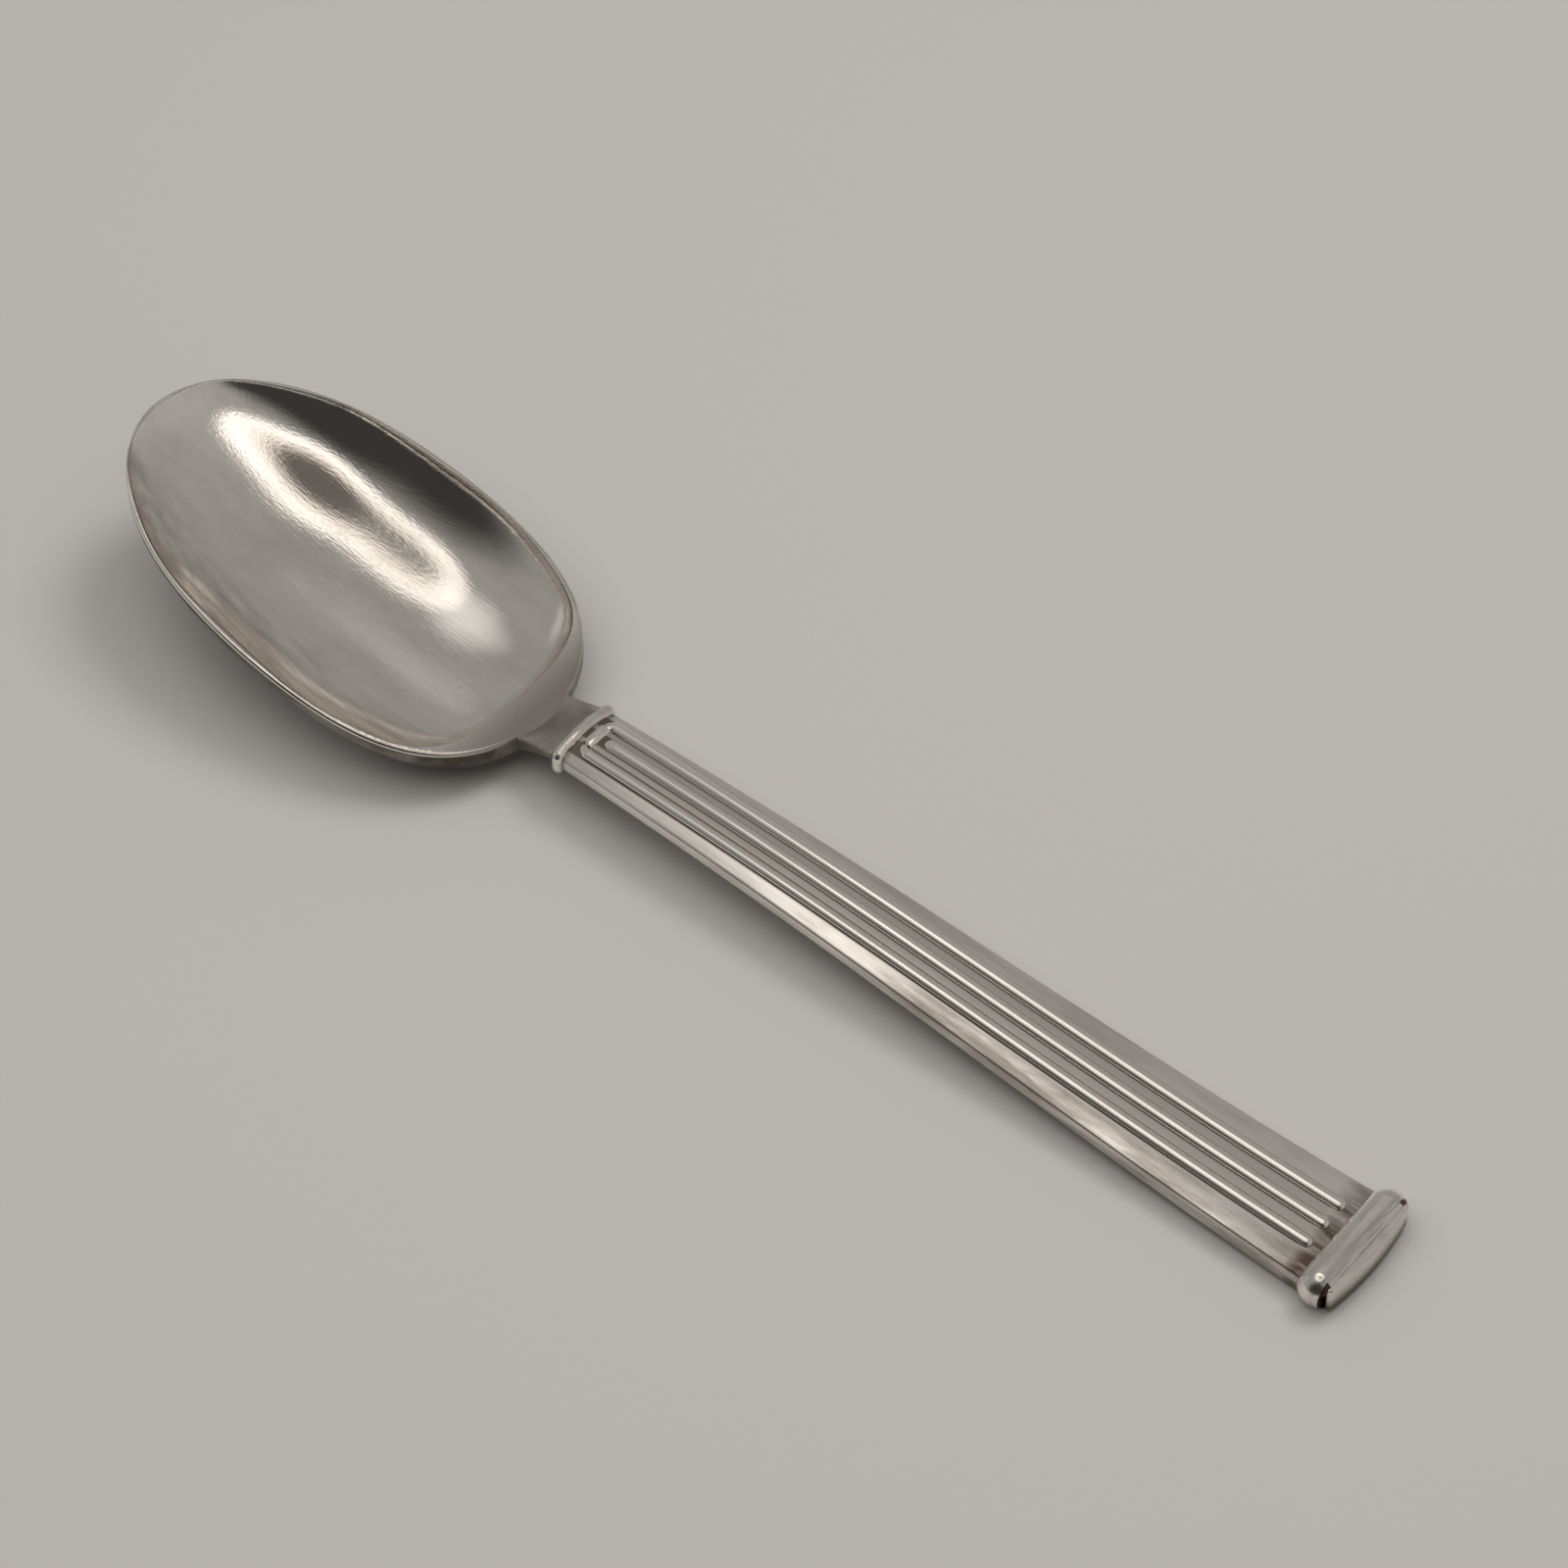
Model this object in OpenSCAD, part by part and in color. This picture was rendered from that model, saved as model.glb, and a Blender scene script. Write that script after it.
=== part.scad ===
// A reeded table spoon, lying bowl up as it rests on a table.
// X runs along the spoon, from the bowl's tip at -X to the end of the handle at +X.
// Y runs across the spoon and Z is up, with z = 0 at the table.
// The origin is on the table, under the middle of the spoon's length.
// A place along the spoon is given as s, its distance from the bowl's tip.

/* [Bowl] */
// Length of the bowl, from its tip to the seam at the neck
bowl_l = 69.2; // [60:0.2:78]
// Width of the bowl over its rim
bowl_w = 43.4; // [38:0.2:48]
// Depth of the basin under its rim
basin_deep = 9.3; // [8:0.1:11]
// Thickness of the bowl's floor at its deepest place
floor_t = 1.2; // [1:0.1:1.8]
// Height of the rim at the tip over the rim at the neck
rim_rise = 15.4; // [10:0.1:18]
// Width of the flat rim at the sides of the bowl
rim_w = 0.6; // [0.5:0.1:1.2]
// Width of the flat rim at the tip of the bowl
rim_tip_w = 0.7; // [0.5:0.1:1.2]
// Width of the flat shoulder between the basin and the neck
shoulder_w = 4.3; // [3.4:0.1:5.2]
// Height of the rim's outer edge at the tip
edge_tip_t = 1.1; // [0.9:0.1:1.5]
// Height of the rim's outer edge at the neck
edge_neck_t = 2.4; // [1.8:0.1:3]

/* [Neck] */
// Length of the neck, from the bowl's seam to the collar
neck_l = 6.5; // [5:0.1:9]
// Narrowest width of the neck
neck_w = 9.8; // [8.6:0.1:10.4]
// Rise of the neck's top, along its middle, from the seam to the collar
neck_rise = 2.8; // [1.5:0.1:4]

/* [Collar] */
// Length of the collar along the spoon
collar_l = 1.8; // [1.4:0.1:2.2]
// Width of the handle's end face and of the neck's end face at the collar
collar_w = 10.6; // [10.2:0.1:11.6]
// Thickness of the neck and of the handle at the collar
collar_t = 3.2; // [2.9:0.1:3.6]
// How far the bead stands out of the neck and the handle
bead_h = 0.7; // [0.4:0.05:0.9]

/* [Handle] */
// Length of the handle, from the collar to its seat on the roll
handle_l = 121.7; // [105:0.5:135]
// Width of the handle at its end
handle_end_w = 16.5; // [15:0.1:17.2]
// Height of the handle's top over the table at its end
handle_end_z = 3.9; // [3.7:0.1:4.4]
// Thickness of the handle at its end
handle_end_t = 3.4; // [3:0.1:3.6]
// How much the handle thins between its two ends
handle_waist = 0.5; // [0:0.1:0.8]
// Width of the bevel along the handle's upper edges
bevel_w = 0.45; // [0.3:0.05:0.7]
// How much higher the top's middle is than its sides at the collar
collar_crown = 1.3; // [0.6:0.1:1.5]
// How much higher the top's middle is than its sides at the handle's end
end_crown = 0.3; // [0.1:0.05:0.5]

/* [Reeds] */
// Width of a reed
reed_w = 1.8; // [1.4:0.1:2]
// Height of a reed over the handle
reed_h = 0.7; // [0.5:0.05:0.9]
// Distance between two reeds at the collar
reed_pitch = 2.8; // [2.6:0.05:3]
// Distance between two reeds at the handle's end
reed_end_pitch = 3.5; // [3.1:0.05:3.9]
// Distance of the cross reed's middle from the collar
cross_in = 1.5; // [1.2:0.05:2.2]
// Distance from the cross reed's middle to the start of the middle reed
middle_in = 2.5; // [2.3:0.1:3.4]
// Distance of the reeds' tips from the handle's end
tip_in = 1.5; // [1:0.1:4]

/* [End roll] */
// Diameter of the roll across the handle's end
roll_d = 5.8; // [5.4:0.1:6.2]
// Length of the roll over its round ends
roll_l = 19.8; // [19:0.1:20.8]
// Width of the flat that the roll rests on
rest_w = 2; // [1.4:0.1:2.4]
// Distance of the roll's axis from the handle's end face
roll_seat = 2.2; // [1.9:0.1:2.3]
// Distance of the end plate's back from the roll's axis
plate_seat = 1.9; // [1.6:0.1:2]
// Thickness of the end plate at its middle
plate_t = 1.3; // [1:0.1:2]
// Thickness of the end plate at its two ends
plate_end_t = 0.5; // [0.2:0.1:0.8]
// Length of the end plate across the spoon
plate_l = 16.8; // [15.6:0.1:17.4]
// Height of the end plate's ridge over the table
plate_top = 4.7; // [4.2:0.1:4.7]
// Height of the end plate's underside over the table
plate_low = 0.7; // [0.6:0.1:1]
// Width of the slit at each end of the end plate
slit_w = 0.6; // [0.3:0.05:0.7]
// Depth of the slit from the roll's end
slit_deep = 2.2; // [1.6:0.1:2.6]

/* [Hidden] */
$fn = 64;

// Places along the spoon
seam_s = bowl_l;
collar_s = seam_s + neck_l;
handle_s = collar_s + collar_l;
end_s = handle_s + handle_l;
roll_s = end_s + roll_seat;
plate_s = roll_s + plate_seat;
length = plate_s + plate_t;

// Outlines of the bowl and of its basin: shares of their widths along an egg each
// The seam cuts the bowl's egg just short; the basin's egg is blunter towards the neck
seam_share = 0.992;
egg_shares = [1, -0.07, 0.2, -0.08, -0.06];
basin_shares = [1, -0.1, 0.45, -0.06, -0.91, -0.23, 1.07];
egg_l = bowl_l / seam_share;
basin_l = egg_l - rim_tip_w - shoulder_w;
basin_w = bowl_w - 2 * rim_w;

// Curvature of the bowl: along it, and across it
along_share = 1.5;
across_share = 2.3;
wall_share = 0.66;

// Counts of stations and of points
bowl_n = 40;
across_n = 22;
neck_n = 8;
bead_n = 10;
handle_n = 40;
reed_n = 10;
tip_n = 6;

// How the handle falls from the collar to its end
fall_share = 1.08;

// Shares of a bevel's width, and of the neck's thickness at the collar
chamfer_share = 0.9;
belly_share = 0.3;

// Share of the way to an outer reed at which the cross reed bends
bend_share = 0.9;

function lerp(a, b, u) = a + (b - a) * u;

// Half width of an egg of the given length and width, at the angle t round it
function swell(t, shares) = sin(t) * (shares * [for (k = [0:len(shares) - 1]) pow(cos(t), k)]);
egg_widest = max([for (t = [60:0.5:120]) swell(t, egg_shares)]);
basin_widest = max([for (t = [60:0.5:120]) swell(t, basin_shares)]);
function egg_y(w, t) = w / 2 * swell(t, egg_shares) / egg_widest;
function basin_y(w, t) = w / 2 * swell(t, basin_shares) / basin_widest;
function egg_s(l, t) = l / 2 * (1 - cos(t));

// Shares across a section, from +1 at one side to -1 at the other
across = [for (j = [0:across_n]) cos(180 * j / across_n)];
function dish(v) = pow(max(0, 1 - pow(abs(v), across_share)), wall_share);

// Angle round the egg at which the seam cuts it
seam_t = acos(1 - 2 * seam_share);
seam_w = 2 * egg_y(bowl_w, seam_t);

// Heights: the rim's line over the seam, and the underside's depth under that line
function rim_fall(s) = rim_rise * (1 - s / bowl_l);
function edge_t(s) = lerp(edge_tip_t, edge_neck_t, pow(s / bowl_l, 3));
function hollow(deep, w, full_w) = deep * pow(w / full_w, along_share);
belly_deep = basin_deep + floor_t - edge_t(bowl_l / 2);
function belly(t) = hollow(belly_deep, 2 * egg_y(bowl_w, t), bowl_w);

// The rim's height at the seam puts the lowest place of the bowl on the table
function bowl_t(i) = lerp(seam_t / bowl_n / 3, seam_t, i / bowl_n);
seam_z = -min([for (i = [0:bowl_n]) let (t = bowl_t(i), s = egg_s(egg_l, t))
               rim_fall(s) - edge_t(s) - belly(t)]);
collar_z = seam_z + neck_rise;

// Handle: its stations, and the height of its middle, straight between stations
cross_s = handle_s + cross_in;
handle_stations = concat([handle_s, cross_s - reed_w / 2, cross_s + reed_w / 2],
                         [for (i = [2:handle_n]) lerp(handle_s, end_s, i / handle_n)]);
function handle_u(s) = max(0, (s - handle_s) / handle_l);
function handle_w(s) = lerp(collar_w, handle_end_w, handle_u(s));
function crown(s) = lerp(collar_crown, end_crown, handle_u(s));
function fall(u) = (1 - cos(180 * pow(u, fall_share))) / 2;
top_table = [for (s = handle_stations) [s, lerp(collar_z, handle_end_z, fall(handle_u(s)))]];
function top_z(s) = lookup(s, top_table);
function pitch(s) = lerp(reed_pitch, reed_end_pitch, (s - cross_s) / (end_s - cross_s));

// Height of the crowned top at y, which runs flat under each reed and between two reeds
function reed_edges(s) = [reed_w / 2, pitch(s) - reed_w / 2, pitch(s) + reed_w / 2];
function crown_z(s, y) = top_z(s) - crown(s) * pow(2 * y / handle_w(s), 2);
function bed_z(s, y) = lookup(abs(y), [for (e = reed_edges(s)) [e, crown_z(s, e)]]);

// A point of the part from its place along the spoon, across it and over the table
function at(s, y, z) = [s - length / 2, y, z];

// A closed solid through rings of points, which run from one end to the other
// Each ring goes along its top and back along its underside, so point k of n faces n - 1 - k
module loft(rings) {
    n = len(rings[0]);
    last = (len(rings) - 1) * n;
    points = [for (ring = rings) each ring];
    sides = [for (i = [0:n:last - n], j = [0:n - 1])
             let (a = i + j, d = i + (j + 1) % n)
             each [[a, a + n, d + n], [a, d + n, d]]];
    ends = [for (k = [0:floor(n / 2) - 2])
            let (a = k, b = k + 1, c = n - 2 - k, d = n - 1 - k)
            each [[a, b, d], [b, c, d], [last + d, last + b, last + a], [last + d, last + c, last + b]]];
    middle = n % 2 == 1 ? [for (m = [(n - 1) / 2])
                           each [[m - 1, m, m + 1], [last + m + 1, last + m, last + m - 1]]] : [];
    polyhedron(points = points, faces = concat(sides, ends, middle), convexity = 6);
}

// Underside of a bowl or neck section, from -y to +y
function underside(s, w, z, deep) = [for (v = across) at(s, -v * w / 2, z - deep * dish(v))];

// Ring of the bowl at step i: rim, basin, rim and underside
// The basin is an egg of its own, so its points lie at another s than the rim's
function bowl_ring(i) =
    let (t = bowl_t(i), s = egg_s(egg_l, t), w = 2 * egg_y(bowl_w, t), z = seam_z + rim_fall(s),
         capped = i == 0 || i == bowl_n, bt = 180 * i / bowl_n,
         bs = capped ? s : rim_tip_w + egg_s(basin_l, bt),
         bw = capped ? w / 2 : 2 * basin_y(basin_w, bt),
         bz = seam_z + rim_fall(bs), deep = capped ? 0 : hollow(basin_deep, bw, basin_w))
    concat([at(s, w / 2, z)],
           [for (v = across) at(bs, v * bw / 2, bz - deep * dish(v))],
           [at(s, -w / 2, z)],
           underside(s, w, z - edge_t(s), belly(t)));

module bowl() {
    color("gainsboro") loft([for (i = [0:bowl_n]) bowl_ring(i)]);
}

// Neck: a wedge that rises to the collar, waisted in plan, its top flat at the seam and crowned
// at the collar
crown_steps = [1, 0.5, 0, -0.5, -1];
function neck_ring(u) =
    let (s = lerp(seam_s, collar_s, u), z = lerp(seam_z, collar_z, u),
         w = lerp(seam_w, collar_w, u) - 4 * u * (1 - u) * ((seam_w + collar_w) / 2 - neck_w),
         edge = lerp(edge_neck_t, collar_t * (1 - belly_share), u),
         deep = lerp(belly(seam_t), collar_t * belly_share, u))
    concat([for (v = crown_steps) at(s, v * w / 2, z - collar_crown * u * v * v)],
           underside(s, w, z - edge, deep));

module neck() {
    color("gainsboro") loft([for (i = [0:neck_n]) neck_ring(i / neck_n)]);
}

// Section of the handle or collar: crowned top, bevels, upright edges
function bar_ring(s, t, out) =
    let (half = handle_w(s) / 2, y = half + out, low = top_z(s) - t - out,
         shoulder = crown_z(s, half - bevel_w) + out, lip = shoulder - bevel_w * chamfer_share,
         e = reed_edges(s))
    concat([for (v = [e[2], e[1], e[0], -e[0], -e[1], -e[2]]) at(s, v, bed_z(s, v) + out)],
           [at(s, -y + bevel_w, shoulder), at(s, -y, lip),
            at(s, -y, low + bevel_w), at(s, -y + bevel_w, low),
            at(s, y - bevel_w, low), at(s, y, low + bevel_w),
            at(s, y, lip), at(s, y - bevel_w, shoulder)]);

// Collar: a plate between neck and handle, its edge rounded all round to a bead
module collar_bead() {
    rings = [for (i = [0:bead_n])
             let (a = 180 * i / bead_n)
             bar_ring(lerp(collar_s, handle_s, (1 - cos(a)) / 2), collar_t, bead_h * sin(a))];
    color("silver") loft(rings);
}

// Handle: arched bar, wider towards its end, thinnest between its ends
function handle_t(s) =
    let (u = handle_u(s))
    lerp(collar_t, handle_end_t, u) - 4 * u * (1 - u) * handle_waist;

module handle() {
    color("silver") loft([for (s = handle_stations) bar_ring(s, handle_t(s), 0)]);
}

// Half-round profile of a reed: shares of half its width, and of its height
reed_shares = [for (k = [0:reed_n]) [cos(180 * k / reed_n), sin(180 * k / reed_n)]];

// Ring of a reed at s, its middle at y, shrunk by k for a rounded end and mitred by m
function reed_ring(s, y, k, m) =
    [for (q = reed_shares)
     let (v = q[0] * k * reed_w / 2, sv = s + m * v)
     at(sv, y + v, bed_z(sv, y + v) + q[1] * k * reed_h)];

// Rounded end of a reed: steps from its full size to a small blunt nose, short of a point
nose_turn = 84;
function nose(s, side, dir) =
    [for (i = [1:tip_n])
     let (a = nose_turn * (dir > 0 ? i : tip_n + 1 - i) / tip_n, sa = s + dir * sin(a) * reed_w / 2)
     reed_ring(sa, side * pitch(sa), cos(a), 0)];

function body_stations(from) = [for (s = handle_stations) if (s > from && s < tip_s) s];
tip_s = end_s - tip_in - reed_w / 2;

module reed(from, side, mitre) {
    rings = concat(
        mitre == 0 ? nose(from, side, -1) : [],
        [reed_ring(from, side * pitch(cross_s), 1, mitre)],
        [for (s = body_stations(from + reed_w / 2)) reed_ring(s, side * pitch(s), 1, 0)],
        [reed_ring(tip_s, side * pitch(tip_s), 1, 0)],
        nose(tip_s, side, 1));
    color("whitesmoke") loft(rings);
}

module near_reed() { reed(cross_s, -1, 1); }

module middle_reed() { reed(cross_s + middle_in, 0, 0); }

module far_reed() { reed(cross_s, 1, -1); }

// Cross reed: it bends over the crown, and is mitred to the outer reeds at both its ends
// A ring of it at y, where m is 0, or the side on which it is mitred
function cross_ring(y, m) =
    [for (q = reed_shares)
     let (v = -q[0] * reed_w / 2, yv = y - m * v)
     at(cross_s + v, yv, bed_z(cross_s + v, yv) + q[1] * reed_h)];

module cross_reed() {
    e = reed_edges(cross_s);
    rings = [for (y = [-bend_share * e[1], -e[0], e[0], bend_share * e[1]]) cross_ring(y, 0)];
    color("whitesmoke") loft(concat([cross_ring(-reed_pitch, -1)], rings, [cross_ring(reed_pitch, 1)]));
}

// Roll: its axis height leaves a flat of the given width on the table
// The slits are boxes about the ends of the roll
roll_z = sqrt(pow(roll_d / 2, 2) - pow(rest_w / 2, 2));
slit_y = roll_l / 2;

module end_roll() {
    half = roll_l / 2 - roll_d / 2;
    color("silver") translate(at(0, 0, 0)) difference() {
        translate([roll_s, 0, roll_z]) {
            rotate([90, 0, 0]) cylinder(d = roll_d, h = 2 * half, center = true);
            for (side = [-1, 1]) translate([0, side * half, 0]) sphere(d = roll_d);
        }
        translate([end_s - roll_d, -roll_l, -roll_d]) cube([roll_d, 2 * roll_l, 3 * roll_d]);
        translate([plate_s, -roll_l, -roll_d]) cube([roll_d, 2 * roll_l, 3 * roll_d]);
        translate([end_s - roll_d, -roll_l, -roll_d]) cube([3 * roll_d, 2 * roll_l, roll_d]);
        for (side = [-1, 1]) translate([plate_s - slit_w, side * slit_y, 0])
            translate([0, -slit_deep, plate_low]) cube([roll_d, 2 * slit_deep, plate_top - 2 * plate_low]);
    }
}

// End plate: bowed in plan, its back flat against the roll
module end_plate() {
    bow = plate_t - plate_end_t;
    r = (pow(plate_l / 2, 2) + pow(bow, 2)) / (2 * bow);
    color("silver") translate(at(plate_s, 0, plate_low)) linear_extrude(plate_top - plate_low)
        intersection() {
            translate([plate_t - r, 0]) circle(r = r, $fn = 360);
            translate([0, -plate_l / 2]) square([plate_t, plate_l]);
        }
}

bowl();
neck();
collar_bead();
handle();
near_reed();
middle_reed();
far_reed();
cross_reed();
end_roll();
end_plate();
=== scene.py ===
# %% [markdown]
# # A reeded table spoon in silver plate
# The real spoon is struck from one blank of nickel silver and then plated with silver. It could be
# sculpted as one mesh, but its sharp boundary lines would blur. It is built here as the pieces that
# those lines bound, each over the solid of the same place in the fixed frame.

# %% Load the fixed frame
import math

import bmesh
import bpy
from mathutils import Matrix, Vector


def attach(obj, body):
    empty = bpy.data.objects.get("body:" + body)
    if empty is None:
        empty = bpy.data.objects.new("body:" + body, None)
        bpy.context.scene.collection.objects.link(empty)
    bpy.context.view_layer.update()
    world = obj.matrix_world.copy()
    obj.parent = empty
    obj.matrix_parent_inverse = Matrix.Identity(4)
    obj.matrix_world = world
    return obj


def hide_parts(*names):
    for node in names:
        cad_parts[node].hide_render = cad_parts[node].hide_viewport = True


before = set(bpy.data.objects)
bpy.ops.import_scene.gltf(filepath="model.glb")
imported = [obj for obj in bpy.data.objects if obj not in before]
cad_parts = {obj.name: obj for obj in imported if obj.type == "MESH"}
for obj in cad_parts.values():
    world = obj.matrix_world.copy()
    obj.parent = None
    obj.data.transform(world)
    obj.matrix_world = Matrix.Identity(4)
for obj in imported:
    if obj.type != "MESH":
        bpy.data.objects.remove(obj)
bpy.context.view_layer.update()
print("CAD nodes:", sorted(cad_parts))

# %% [markdown]
# ## Sizes
# A spoon is drawn from its side view and its plan. A place along it is s, the distance in
# millimetres from the bowl's tip, as a cutler measures it. Blender works in metres.

# %% Sizes in millimetres, and places along the spoon
MM = 0.001
BOWL_L, BOWL_W, BASIN_DEEP, FLOOR_T, RIM_RISE = 69.2, 43.4, 9.3, 1.2, 15.4
RIM_W, RIM_TIP_W, SHOULDER_W, EDGE_TIP_T, EDGE_NECK_T = 0.6, 0.7, 4.3, 1.1, 2.4
NECK_L, NECK_W, NECK_RISE, COLLAR_L, COLLAR_W, COLLAR_T, BEAD_H = 6.5, 9.8, 2.8, 1.8, 10.6, 3.2, 0.7
HANDLE_L, END_W, END_Z, END_T, WAIST, BEVEL_W = 121.7, 16.5, 3.9, 3.4, 0.5, 0.45
COLLAR_CROWN, END_CROWN = 1.3, 0.3
REED_W, REED_H, PITCH, END_PITCH, CROSS_IN, MIDDLE_IN, TIP_IN = 1.8, 0.7, 2.8, 3.5, 1.5, 2.5, 1.5
ROLL_D, ROLL_L, REST_W, ROLL_SEAT, PLATE_SEAT = 5.8, 19.8, 2.0, 2.2, 1.9
PLATE_T, PLATE_END_T, PLATE_L, PLATE_TOP, PLATE_LOW = 1.3, 0.5, 16.8, 4.7, 0.7
SLIT_W, SLIT_DEEP = 0.6, 2.2
RIM_ROUND = 0.45

SEAM_S = BOWL_L
COLLAR_S = SEAM_S + NECK_L
HANDLE_S = COLLAR_S + COLLAR_L
END_S = HANDLE_S + HANDLE_L
ROLL_S = END_S + ROLL_SEAT
PLATE_S = ROLL_S + PLATE_SEAT
CROSS_S = HANDLE_S + CROSS_IN
LENGTH = PLATE_S + PLATE_T


def lerp(a, b, u):
    return a + (b - a) * u


def at(s, y=0.0, z=0.0):
    """A point of the scene, in metres, from its place on the spoon in millimetres."""
    return Vector((s - LENGTH / 2, y, z)) * MM


print("spoon from x =", at(0).x, "to x =", at(LENGTH).x)

# %% [markdown]
# ## Working by hand, in code
# A modeller adds a primitive, selects some of its points and moves them. These helpers do that:
# one starts a piece, one selects points by a test, one stretches and moves what is selected.

# %% Start a piece, select its points, and shape them
TINY = 2e-6  # metres: points closer than this are one point


def begin(name, add, **settings):
    """Adds a primitive with nothing else selected, and starts editing it."""
    bpy.ops.object.select_all(action="DESELECT")
    add(**settings)
    piece = bpy.context.active_object
    piece.name = piece.data.name = name
    bpy.ops.object.transform_apply(location=True, rotation=True, scale=True)
    bpy.ops.object.mode_set(mode="EDIT")
    bpy.ops.mesh.select_mode(type="VERT")
    return piece


def pick(piece, wanted):
    """Selects the points that pass a test, and the edges and faces between them."""
    bpy.ops.mesh.select_all(action="DESELECT")
    mesh = bmesh.from_edit_mesh(piece.data)
    for point in mesh.verts:
        point.select = bool(wanted(point))
    mesh.select_flush_mode()
    bmesh.update_edit_mesh(piece.data)


def shape(move=(0, 0, 0), grow=(1, 1, 1), about=(0, 0, 0)):
    """Stretches what is selected about a point, and then moves it."""
    if tuple(grow) != (1, 1, 1):
        bpy.ops.transform.resize(value=grow, center_override=about)
    if tuple(move) != (0, 0, 0):
        bpy.ops.transform.translate(value=move)


print("points closer than", TINY / MM, "mm are merged")


# %% Finish a piece
def finish(piece, node, angle=35):
    """Merges doubled points, turns faces outwards, smooths, and puts the piece on its body."""
    bpy.ops.mesh.select_all(action="SELECT")
    bpy.ops.mesh.remove_doubles(threshold=TINY)
    bpy.ops.mesh.dissolve_degenerate(threshold=TINY / 4)
    bpy.ops.mesh.normals_make_consistent(inside=False)
    if bmesh.from_edit_mesh(piece.data).calc_volume(signed=True) < 0:
        bpy.ops.mesh.flip_normals()
    bpy.ops.object.mode_set(mode="OBJECT")
    bpy.ops.object.shade_smooth_by_angle(angle=math.radians(angle))
    flats = piece.modifiers.new("flats", "WEIGHTED_NORMAL")
    flats.keep_sharp = True
    bpy.ops.object.modifier_apply(modifier="flats")
    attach(piece, "root")
    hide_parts(node)
    points = [point.co for point in piece.data.vertices]
    low, high = [[round(end(p[k] for p in points) / MM, 2) for k in range(3)] for end in (min, max)]
    print(piece.name, len(piece.data.polygons), "faces, from", low, "to", high, "mm")


# %% A slab, and the numbers of its points
def slab(name, s0, s1, width, top, low, along, across):
    """A flat slab of four-sided faces, from the height low up to the height top."""
    piece = begin(name, bpy.ops.mesh.primitive_grid_add, x_subdivisions=along, y_subdivisions=across,
                  size=(s1 - s0) * MM, location=at((s0 + s1) / 2, 0, low))
    bpy.ops.mesh.select_all(action="SELECT")
    shape(grow=(1, width / (s1 - s0), 1), about=at(0, 0, low))
    bpy.ops.mesh.extrude_region_move(TRANSFORM_OT_translate={"value": (0, 0, (top - low) * MM)})
    return piece


def addresses(piece, s0, s1, width, top, along, across):
    """The slab's point numbers by column and row: its underside, its outline on top, and its top."""
    sides = {"under": {}, "ring": {}, "top": {}}
    for point in bmesh.from_edit_mesh(piece.data).verts:
        u = (point.co.x - at(s0).x) / ((s1 - s0) * MM) * along
        v = (0.5 - point.co.y / (width * MM)) * across
        i, j = round(u), round(v)
        on_edge = min(u, along - u, v, across - v) < TINY * 100
        side = "under" if point.co.z < (top - 0.1) * MM else "ring" if on_edge else "top"
        sides[side].setdefault(i, {})[j] = point.index
    return sides


def pick_numbers(piece, numbers):
    numbers = set(numbers)
    pick(piece, lambda point: point.index in numbers)


# %% Two surfaces on one piece, and a soft edge between them
def part_skin(piece, numbers):
    """Gives the faces between these points a second material: skin with tone and painted shade."""
    for kind in ("inside", "skin"):
        piece.data.materials.append(bpy.data.materials.get(kind) or bpy.data.materials.new(kind))
    pick_numbers(piece, numbers)
    piece.active_material_index = 1
    bpy.ops.object.material_slot_assign()


def ease_rim(piece, start_s, end_s):
    """Rounds the top's outer edge, where bright metal meets the skin, between two places."""
    bpy.ops.mesh.select_all(action="SELECT")
    bpy.ops.mesh.remove_doubles(threshold=TINY)
    bpy.ops.mesh.select_all(action="DESELECT")
    bpy.ops.mesh.select_mode(type="EDGE")
    mesh = bmesh.from_edit_mesh(piece.data)
    for edge in mesh.edges:
        xs = [point.co.x for point in edge.verts]
        between = min(xs) < at(end_s).x - TINY and max(xs) > at(start_s).x + TINY
        edge.select = between and len({face.material_index for face in edge.link_faces}) > 1
    bmesh.update_edit_mesh(piece.data)
    bpy.ops.mesh.bevel(offset=RIM_ROUND * MM, segments=3, profile=0.5, material=0)
    bpy.ops.mesh.select_mode(type="VERT")


# %% [markdown]
# ## Bowl
# A bowl is struck between two dies: a basin inside, a belly outside, and a flat rim between them.
# It could be revolved, but it is egg-shaped and not round. A grid is thickened to a slab and its
# top inset, which gives the rim. Then each row is lowered to the basin's section, and each column
# is stretched to its width and depth and moved to its place along the egg. Last, the rim's outer
# edge is bevelled: that soft edge is what draws the thin bright line round a real bowl.

# %% Outlines and section of the bowl
SEAM_SHARE = 0.992  # the share of the whole egg that the bowl keeps before the neck cuts it off
OUTLINE = (1, -0.07, 0.2, -0.08, -0.06)
BASIN = (1, -0.1, 0.45, -0.06, -0.91, -0.23, 1.07)
WIDEST_AT = [math.radians(60 + k / 2) for k in range(121)]
SHALLOWER = 1.5  # power of the width that the depth follows, so that the ends are shallower
DISH_SQUARE, DISH_FULL = 2.3, 0.66  # the section's two powers: 2 and 0.5 would be a half circle
EDGE_GROWS = 3
EGG_L = BOWL_L / SEAM_SHARE
BASIN_L = EGG_L - RIM_TIP_W - SHOULDER_W
BASIN_W = BOWL_W - 2 * RIM_W
SEAM_T = math.acos(1 - 2 * SEAM_SHARE)


def swell(t, shares):
    return math.sin(t) * sum(share * math.cos(t) ** k for k, share in enumerate(shares))


def egg_w(width, t, shares=OUTLINE):
    """Width of an egg at the angle t round it; its shares say how its two ends differ."""
    widest = max(swell(angle, shares) for angle in WIDEST_AT)
    return max(0.0, width * swell(t, shares) / widest)


def egg_s(length, t):
    return length / 2 * (1 - math.cos(t))


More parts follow.
